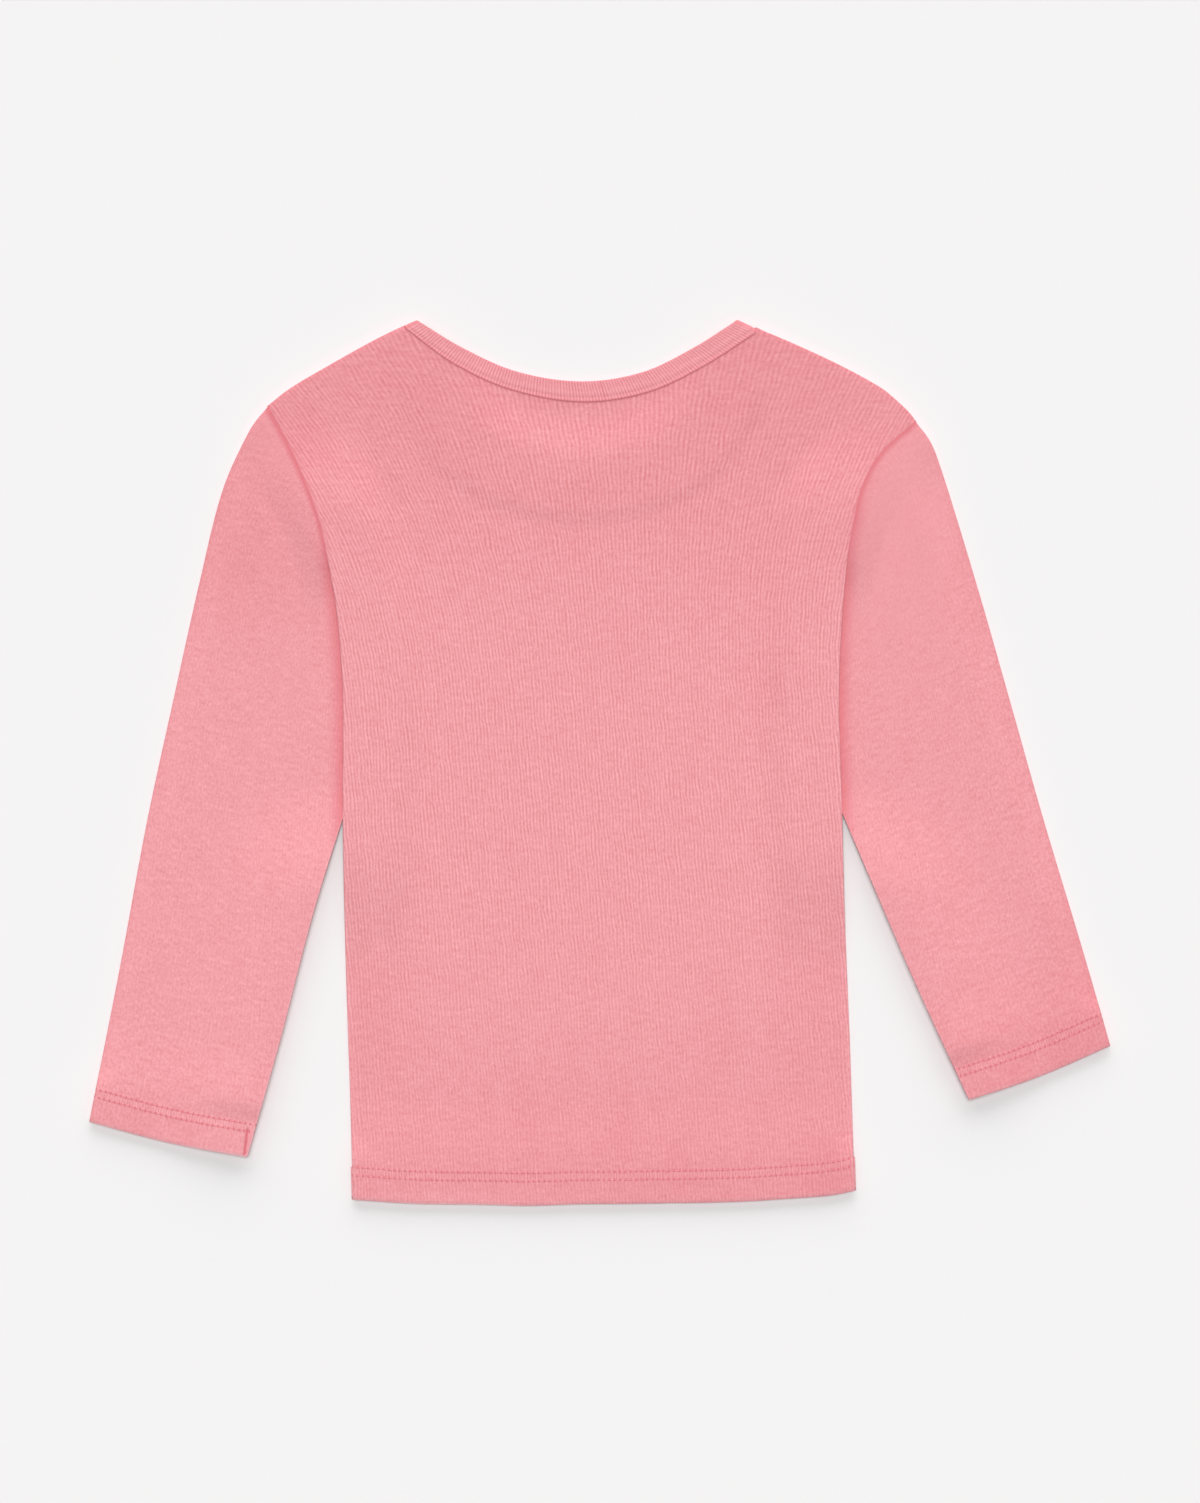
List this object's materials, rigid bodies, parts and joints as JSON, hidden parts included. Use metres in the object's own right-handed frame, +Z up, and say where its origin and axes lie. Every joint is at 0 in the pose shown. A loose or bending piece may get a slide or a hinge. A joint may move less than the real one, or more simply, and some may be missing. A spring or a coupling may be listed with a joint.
{
  "type": "child's long-sleeved t-shirt laid flat on its front",
  "caption": "Plain long-sleeved rib-knit t-shirt for a small child, laid flat with its back up, bound round neck and turned-up hems.",
  "frame": {"origin": "middle of the bottom of the bounding box, on the surface that the shirt lies on", "axes": "+X to the viewer's right across the shirt, +Y from the hem to the neck, +Z up out of the back of the shirt"},
  "size_m": [0.4392, 0.3799, 0.0057],
  "materials": {
    "rib_knit": "soft matt fine rib knit",
    "binding_knit": "soft matt folded knit strip"
  },
  "bodies": {
    "root": {"back_panel": "rib_knit", "front_panel": "rib_knit", "sleeve_left": "rib_knit", "sleeve_right": "rib_knit", "neck_binding": "binding_knit"}
  },
  "joints": []
}
